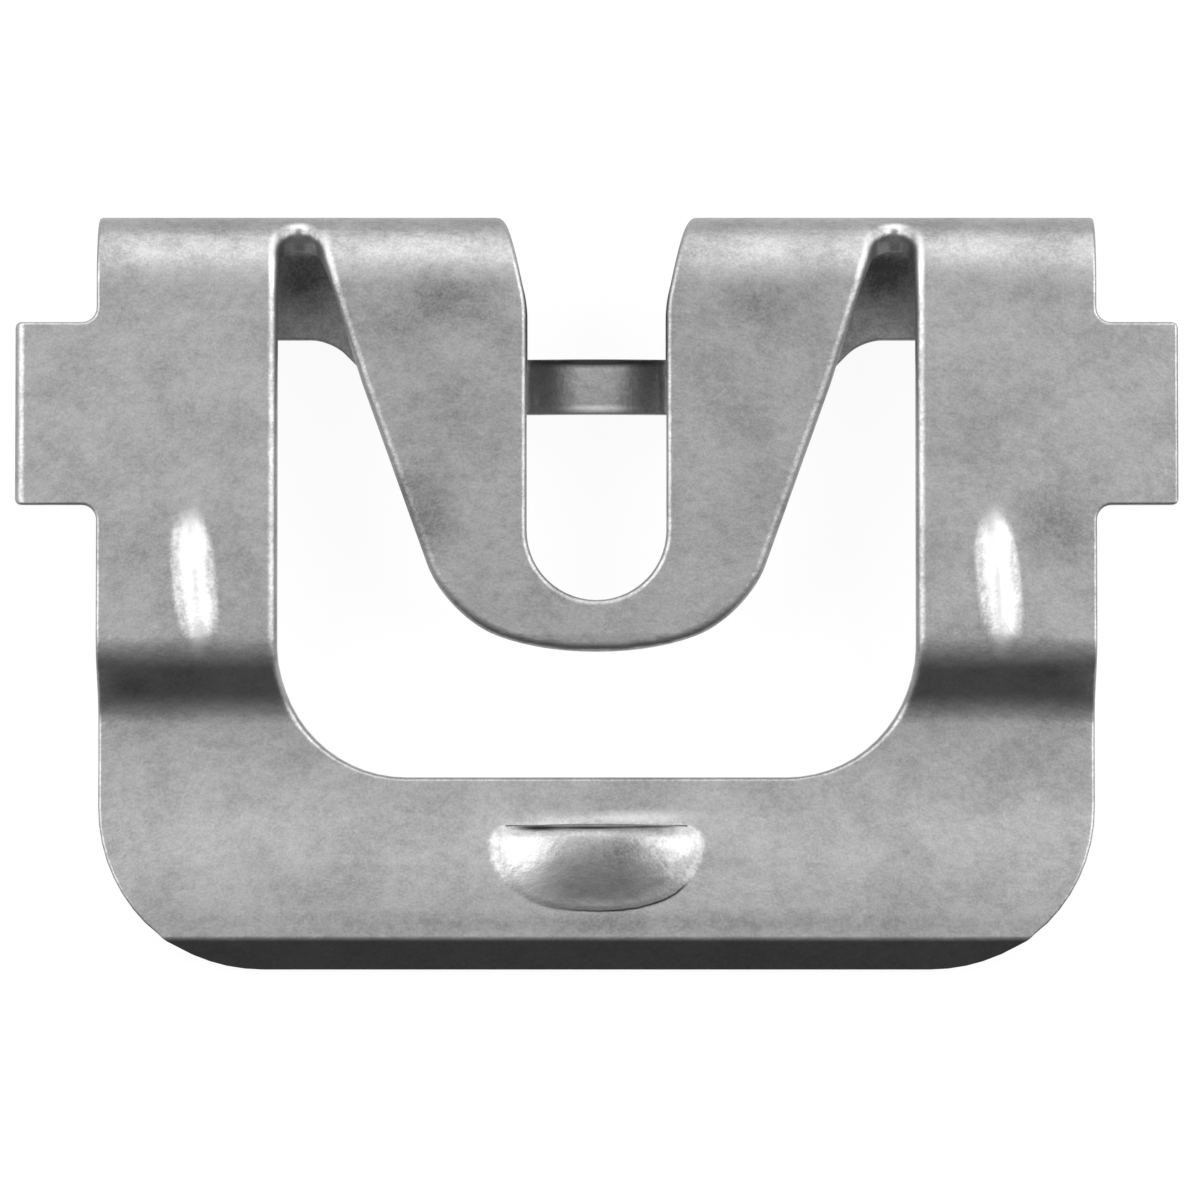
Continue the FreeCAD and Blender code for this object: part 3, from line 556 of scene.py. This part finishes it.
class CLIP_OT_sheet(bpy.types.Operator):
    """Punch the blank, roll its rims, and bend and emboss it into the clip"""

    bl_idname = "clip.sheet"
    bl_label = "Folded sheet"

    def execute(self, context):
        sizes, colours = context.scene.clip_sizes, context.scene.clip_colours
        sheet = drawn(PIECE, BLANK, -SHEET, 0)
        for vertex in sheet.data.vertices:
            if vertex.co.y < LIP_LINE:
                vertex.co.y = LIP_LINE + (vertex.co.y - LIP_LINE) * LIP_STRETCH
        for name, half in (("window", WINDOW), ("stud_slot", STUD_SLOT), ("scoop_slit", SCOOP_SLIT)):
            cut_out(sheet, name, half)
        weigh_rims(sheet, sizes)
        finished("rims", "BEVEL", sheet, limit_method="WEIGHT", width=sizes.rolled_rim / MM,
                 segments=RIM_STEPS, use_clamp_overlap=False)
        bpy.ops.object.mode_set(mode="EDIT")
        for line in bend_lines():
            score(sheet, "v", line)
        reach = BEAD_SIZE + BEAD_MARGIN
        for side in (-1, 1):
            middle = Vector((side * BEAD_PLACE.x, BEAD_PLACE.y))
            score_patch(sheet, middle - reach, middle + reach, BEAD_CELL)
        for patch in (SCOOP_PATCH, BAR_PATCH):
            score_patch(sheet, *patch)
        bpy.ops.object.mode_set(mode="OBJECT")
        bends = side_view()
        for vertex in sheet.data.vertices:
            vertex.co = TO_ROW @ folded(vertex.co, bends, sizes)
        bpy.ops.object.mode_set(mode="EDIT")
        bpy.ops.mesh.select_all(action="SELECT")
        bpy.ops.mesh.remove_doubles(threshold=MERGE * MM)
        bpy.ops.mesh.dissolve_degenerate(threshold=HAIR * MM)
        bpy.ops.object.mode_set(mode="OBJECT")
        activate(sheet)
        bpy.ops.object.shade_smooth_by_angle(angle=math.radians(SMOOTH_ANGLE))
        finished("flat_faces", "WEIGHTED_NORMAL", sheet, keep_sharp=True)
        sheet.data.materials.clear()
        sheet.data.materials.append(plated_steel(sizes, colours))
        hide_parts(CAD_NODE)
        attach(sheet, "root")
        return {"FINISHED"}


# Places of the plating in the clip's own frame: the middle, the reach across and up, and the depth.
# Darker ones, partly painted shade (inside the fold, on the tongue below the fold, on the legs' lower
# bend,
# on the scoop and on the lip) and partly uneven tone:
SHADE_AND_TONE_SPOTS = (
    ((-4.6, -2.4, 0), (2.8, 1.5), 0.6), ((-4.8, -8.0, 0), (1.6, 2.4), 0.6),
    ((-4.2, -5.6, 0), (2.0, 2.4), 0.25), ((4.7, -2.5, 0), (2.4, 1.4), 0.5),
    ((4.3, -4.6, 0), (1.9, 2.0), 0.25), ((4.6, -7.6, 0), (1.5, 2.0), 0.4),
    ((12.6, -8.6, 0.4), (1.7, 1.4), 0.65), ((10.2, -11.4, 0.5), (1.6, 1.1), 0.4),
    ((-9.4, -10.6, 0.5), (0.9, 2.0), 0.3), ((-12.5, -9.2, 0.4), (1.2, 1.6), 0.25),
    ((9.9, -6.3, 0.3), (1.6, 1.4), 0.2), ((-12.0, -19.1, -0.3), (2.2, 0.7), 0.3),
    ((3.0, -19.3, -0.3), (8.0, 0.5), 0.4), ((-4.0, -19.3, -0.3), (6.0, 0.5), 0.25),
    ((-8.1, -1.5, -3), (1.7, 1.4), 1.2), ((8.1, -1.5, -3), (1.7, 1.4), 1.2),
    ((0.6, -17.4, 0.4), (1.3, 0.7), 0.6), ((-12.8, -12.8, -0.4), (0.8, 0.5), 0.7),
    ((-11.1, -12.7, -0.4), (1.1, 0.6), 0.6), ((12.4, -12.5, -0.4), (1.0, 0.5), 0.7),
    ((10.2, -12.5, -0.4), (0.8, 0.5), 0.5))
# Painted shadow lines, at the top of the locking bar and along the scoop's slit:
PAINTED_SHADOW_LINES = (
    ((0, -3.95, -2.9), (2.8, 0.22), 1.4), ((-1.7, -16.74, 0.3), (1.0, 0.12), 1.5),
    ((-0.2, -16.73, 0.3), (1.8, 0.06), 1.3), ((1.5, -16.71, 0.3), (1.4, 0.05), 1.1))
# Painted highlights on crests and rims: the beads, the rims at the fold's mouth, the scoop and the bar's
# lower edge:
PAINTED_HIGHLIGHTS = (
    ((-11.0, -9.3, 0.7), (0.46, 1.7), 0.75), ((-10.84, -11.0, 0.7), (0.45, 1.4), 0.9),
    ((10.9, -9.3, 0.7), (0.46, 1.7), 0.75), ((11.06, -11.0, 0.7), (0.45, 1.4), 0.9),
    ((-8.82, -1.3, -0.4), (0.2, 1.3), 0.5), ((-8.15, -0.27, -0.4), (0.6, 0.14), 0.45),
    ((-7.42, -1.3, -0.4), (0.24, 1.3), 0.4), ((8.82, -1.3, -0.4), (0.2, 1.3), 0.5),
    ((8.15, -0.27, -0.4), (0.6, 0.14), 0.45), ((7.42, -1.3, -0.4), (0.24, 1.3), 0.4),
    ((-1.5, -18.2, 0), (1.3, 0.8), 0.22), ((0.2, -18.85, 0.2), (2.4, 0.35), 0.12),
    ((-2.0, -17.7, 0), (1.1, 0.8), 0.25), ((-2.1, -17.3, 0), (0.8, 0.5), 0.15),
    ((2.4, -17.2, 0), (0.8, 0.5), 0.25), ((1.2, -16.42, 0.2), (2.6, 0.28), 0.35),
    ((0, -5.22, -2.9), (1.5, 0.13), 0.6))
# The painted shadow line along the scoop's foot, in shares of the scoop: where it runs, half its width,
# how far it wanders and over what length in millimetres, and where it fades in, downwards and to the
# right.
CREASE_LINE = 1.04
CREASE_HALF = 0.055
CREASE_WANDER = 0.08
CREASE_WAVE = 0.5
CREASE_FOOT = (-0.5, -0.72)
CREASE_RIGHT = (-0.8, 0.2)

# The plating's patterns: the size of their blobs in millimetres, and how dark they are.
CLOUD_SIZE, CLOUD_DEPTH = 1.9, 0.26
SPECKLE_SIZE, SPECKLE_DEPTH = 0.3, 0.18
GRAIN_SIZE, GRAIN_DEPTH = 0.07, 0.24
# How dark the darker spots are: partly painted shade, partly uneven tone.
SHADE_AND_TONE_DEPTH = 0.6
# Shallow pits, and how much deeper than the grain they are.
PIT_SIZE, PIT_DEPTH = 0.32, 4.0
# The clean plating's roughness, and what the darkest places add to it.
CLEAN_ROUGHNESS = 0.36
DARKENING_ROUGHNESS = 0.18


def spots(nodes, places):
    """All the spots of a list together, each times its depth."""
    return sum(nodes.spot(place, size) * depth for place, size, depth in places)


def scoop_foot_shadow(nodes):
    """1 along the foot of the scoop, from its middle to its right end, where its shadow line is painted.
    """
    low = SCOOP_SIZE.y * SCOOP_CREST
    away = nodes.own_place((0, SLIT - low, 0), (SCOOP_SIZE.x, SCOOP_SIZE.y - low, 1))
    side, rise = (nodes.add("ShaderNodeSeparateXYZ", {"Vector": away}, axis) for axis in "XY")
    outline = side.maths("POWER", side.maths("ABSOLUTE", side), SCOOP_FULLNESS) + rise * rise
    outline = outline + nodes.noise(CREASE_WAVE * MM) * CREASE_WANDER
    line = side.maths("ABSOLUTE", outline - CREASE_LINE).smooth(CREASE_HALF, 0)
    return line * rise.smooth(*CREASE_FOOT) * side.smooth(*CREASE_RIGHT)


def plated_steel(sizes, colours):
    """Dull grey plating on spring steel, mottled and finely grained, with painted shade, painted shadow
    lines and painted highlights.
    """
    material = bpy.data.materials.new("plated_steel")
    nodes = Nodes(material)
    clouds = nodes.noise(CLOUD_SIZE * MM, 4.0, 0.6).smooth(0.36, 0.66)
    speckles = nodes.noise(SPECKLE_SIZE * MM, 3.0, 0.65, offset=(3, 1, 7)).smooth(0.35, 0.7)
    grain = nodes.noise(GRAIN_SIZE * MM, 2.0, 0.6, offset=(5, 2, 1))
    pits = nodes.noise(PIT_SIZE * MM, 2.0, 0.5, offset=(1, 8, 4))
    # Darker spots: partly painted shade, partly uneven tone.
    shade_and_tone = spots(nodes, SHADE_AND_TONE_SPOTS)
    darkening = clouds * CLOUD_DEPTH + speckles * SPECKLE_DEPTH + grain.smooth(0.3, 0.7) * GRAIN_DEPTH
    darkening = darkening + shade_and_tone * SHADE_AND_TONE_DEPTH
    # Painted highlights on crests and rims.
    shining = spots(nodes, PAINTED_HIGHLIGHTS)
    colour = nodes.mixed(darkening, tuple(colours.plating), tuple(colours.darkened))
    colour = nodes.mixed(shining, colour, tuple(colours.burnished))
    # Painted shadow lines along the bar's top and the scoop's slit and foot.
    lines = spots(nodes, PAINTED_SHADOW_LINES) + scoop_foot_shadow(nodes)
    colour = nodes.mixed(lines, colour, tuple(colours.painted_shadow))
    height = grain + pits * PIT_DEPTH
    bump = nodes.add("ShaderNodeBump", {"Strength": 1.0, "Distance": sizes.grain, "Height": height})
    shader = nodes.add("ShaderNodeBsdfPrincipled", {
        "Base Color": colour, "Metallic": 1.0, "Roughness": CLEAN_ROUGHNESS + darkening * DARKENING_ROUGHNESS,
        "Normal": bump})
    nodes.add("ShaderNodeOutputMaterial", {"Surface": shader})
    return material


# The photograph looks straight at the tongue's face, from about 0.27 m. It is PHOTO_PIXELS wide and
# high, and PIXEL is a pixel's size at the clip in millimetres, as are the other sizes here. The clip's
# middle line lies at AXIS_PIXEL from the left, and the fold's top at TOP_PIXEL from above.
PHOTO_PIXELS = 1200
PIXEL = 0.0273
AXIS_PIXEL = 596.5
TOP_PIXEL = 215
CAMERA_DISTANCE = 270
SENSOR = 36

# Soft boxes: where each one stands, its width and height, and how bright its face is.
LAMPS = {
    "top_box": ((0, 0.41, 0.22), (0.8, 0.46), 1.6),
    "high_box": ((0, 0.19, 0.47), (0.6, 0.24), 0.15),
    "left_box": ((-0.38, 0.08, 0.32), (0.5, 0.46), 3.2),
    "right_box": ((0.38, 0.08, 0.32), (0.5, 0.46), 3.2),
}
# Grey cards that only the metal mirrors: the middle, width and depth, turn, and greys of the near and
# the far edge.
CARDS = {
    "low_card": ((0, -0.21, 0.00001), (0.8, 0.4), 0.0, (0.075, 0.075)),
    "fold_card": ((0, 0.0083, 0.0001), (0.026, 0.0034), 0.0, (0.04, 0.04)),
    "graded_card": ((0, -0.26, 0.25), (0.9, 0.573), 60.75, (0.04, 0.76)),
}
# How bright the room is for what it lights, where 1 is white, and the length of the table's sides.
ROOM_LEVEL = 0.12
TABLE_SIZE = 4.0
# The table as the camera and the metal see it: the share of plain white in it, which leaves room for
# the clip's shadow, and how bright that white is.
TABLE_WHITE_SHARE = 0.88
TABLE_WHITE = 1.06


def aim(item, target):
    """Turn a lamp to face a target."""
    item.rotation_euler = (target - item.location).to_track_quat("-Z", "Y").to_euler()


def add_camera():
    """The camera, square on to the tongue's face as in the photograph."""
    half = PHOTO_PIXELS / 2
    middle = Vector(((half - AXIS_PIXEL) * PIXEL, (TOP_PIXEL - half) * PIXEL, 0))
    data = bpy.data.cameras.new("photograph")
    data.sensor_width = SENSOR
    data.lens = SENSOR * CAMERA_DISTANCE / (PHOTO_PIXELS * PIXEL)
    data.clip_start, data.clip_end = 0.01, 10
    camera = bpy.data.objects.new("photograph", data)
    bpy.context.scene.collection.objects.link(camera)
    place = TO_ROW @ (middle + Vector((0, 0, CAMERA_DISTANCE)))
    camera.matrix_world = Matrix.Translation(place) @ OWN_TURN.to_4x4()
    bpy.context.scene.camera = camera


def add_lamp(name, place, size, level):
    """A soft box that faces the clip; level is how bright its face looks, where 1 is white."""
    data = bpy.data.lights.new(name, "AREA")
    data.shape = "RECTANGLE"
    data.size, data.size_y = size
    data.energy = level * math.pi * size[0] * size[1]
    lamp = bpy.data.objects.new(name, data)
    bpy.context.scene.collection.objects.link(lamp)
    lamp.location = place
    aim(lamp, Vector())
    lamp.visible_camera = False


def add_card(name, place, size, turn, greys):
    """A card that only the metal mirrors, with an even change of grey from edge to edge."""
    deselect()
    bpy.ops.mesh.primitive_plane_add(size=1, location=place, rotation=(math.radians(turn), 0, 0))
    card = bpy.context.object
    card.name = name
    card.scale = (*size, 1)
    material = bpy.data.materials.new(name)
    nodes = Nodes(material)
    split = nodes.add("ShaderNodeSeparateXYZ", {"Vector": nodes.place()}, "Y")
    level = (split + 0.5) * (greys[1] - greys[0]) + greys[0]
    glow = nodes.add("ShaderNodeEmission", {"Color": grey(1.0), "Strength": level})
    nodes.add("ShaderNodeOutputMaterial", {"Surface": glow})
    card.data.materials.append(material)
    card.visible_camera = card.visible_diffuse = card.visible_shadow = False


def seen(nodes):
    """1 for what the camera sees, straight or mirrored, and 0 for what lights the table."""
    path = [nodes.add("ShaderNodeLightPath", {}, f"Is {kind} Ray")
            for kind in ("Camera", "Glossy", "Transmission")]
    return path[0] + path[1] + path[2]


def add_table(colours):
    """A pale table that the camera and the metal see almost white."""
    deselect()
    bpy.ops.mesh.primitive_plane_add(size=TABLE_SIZE)
    table = bpy.context.object
    table.name = "table"
    material = bpy.data.materials.new("table")
    nodes = Nodes(material)
    own = nodes.add("ShaderNodeBsdfDiffuse", {"Color": tuple(colours.table)})
    white = nodes.add("ShaderNodeEmission", {"Color": grey(1.0), "Strength": TABLE_WHITE})
    shader = nodes.add("ShaderNodeMixShader", {0: seen(nodes) * TABLE_WHITE_SHARE, 1: own, 2: white})
    nodes.add("ShaderNodeOutputMaterial", {"Surface": shader})
    table.data.materials.append(material)


def add_room():
    """White round about, but dim for what it lights."""
    world = bpy.data.worlds.new("room")
    bpy.context.scene.world = world
    nodes = Nodes(world)
    level = ROOM_LEVEL + seen(nodes) * (1 - ROOM_LEVEL)
    shader = nodes.add("ShaderNodeBackground", {"Color": grey(1.0), "Strength": level})
    nodes.add("ShaderNodeOutputWorld", {"Surface": shader})


class CLIP_OT_stage(bpy.types.Operator):
    """Set up the table, the soft boxes, the cards and the camera of the photograph"""

    bl_idname = "clip.stage"
    bl_label = "Stage"

    def execute(self, context):
        add_table(context.scene.clip_colours)
        for name, (place, size, level) in LAMPS.items():
            add_lamp(name, place, size, level)
        for name, (place, size, turn, greys) in CARDS.items():
            add_card(name, place, size, turn, greys)
        add_room()
        add_camera()
        context.scene.view_settings.view_transform = "Standard"
        return {"FINISHED"}


class CLIP_PT_panel(bpy.types.Panel):
    """The steps that make the clip"""

    bl_label = "Molding Clip"
    bl_idname = "CLIP_PT_panel"
    bl_space_type = "VIEW_3D"
    bl_region_type = "UI"
    bl_category = "Molding Clip"

    def draw(self, context):
        for operator in OPERATORS:
            self.layout.operator(operator.bl_idname)
        for group in (context.scene.clip_sizes, context.scene.clip_colours):
            for name in group.__annotations__:
                self.layout.prop(group, name)


OPERATORS = (CLIP_OT_sheet, CLIP_OT_stage)
CLASSES = (ClipSizes, ClipColours, *OPERATORS, CLIP_PT_panel)


def register():
    for item in CLASSES:
        bpy.utils.register_class(item)
    bpy.types.Scene.clip_sizes = PointerProperty(type=ClipSizes)
    bpy.types.Scene.clip_colours = PointerProperty(type=ClipColours)


def unregister():
    del bpy.types.Scene.clip_colours
    del bpy.types.Scene.clip_sizes
    for item in reversed(CLASSES):
        bpy.utils.unregister_class(item)


def main():
    """Make the clip and its stage."""
    register()
    bpy.ops.clip.sheet()
    bpy.ops.clip.stage()


if __name__ == "__main__":
    main()
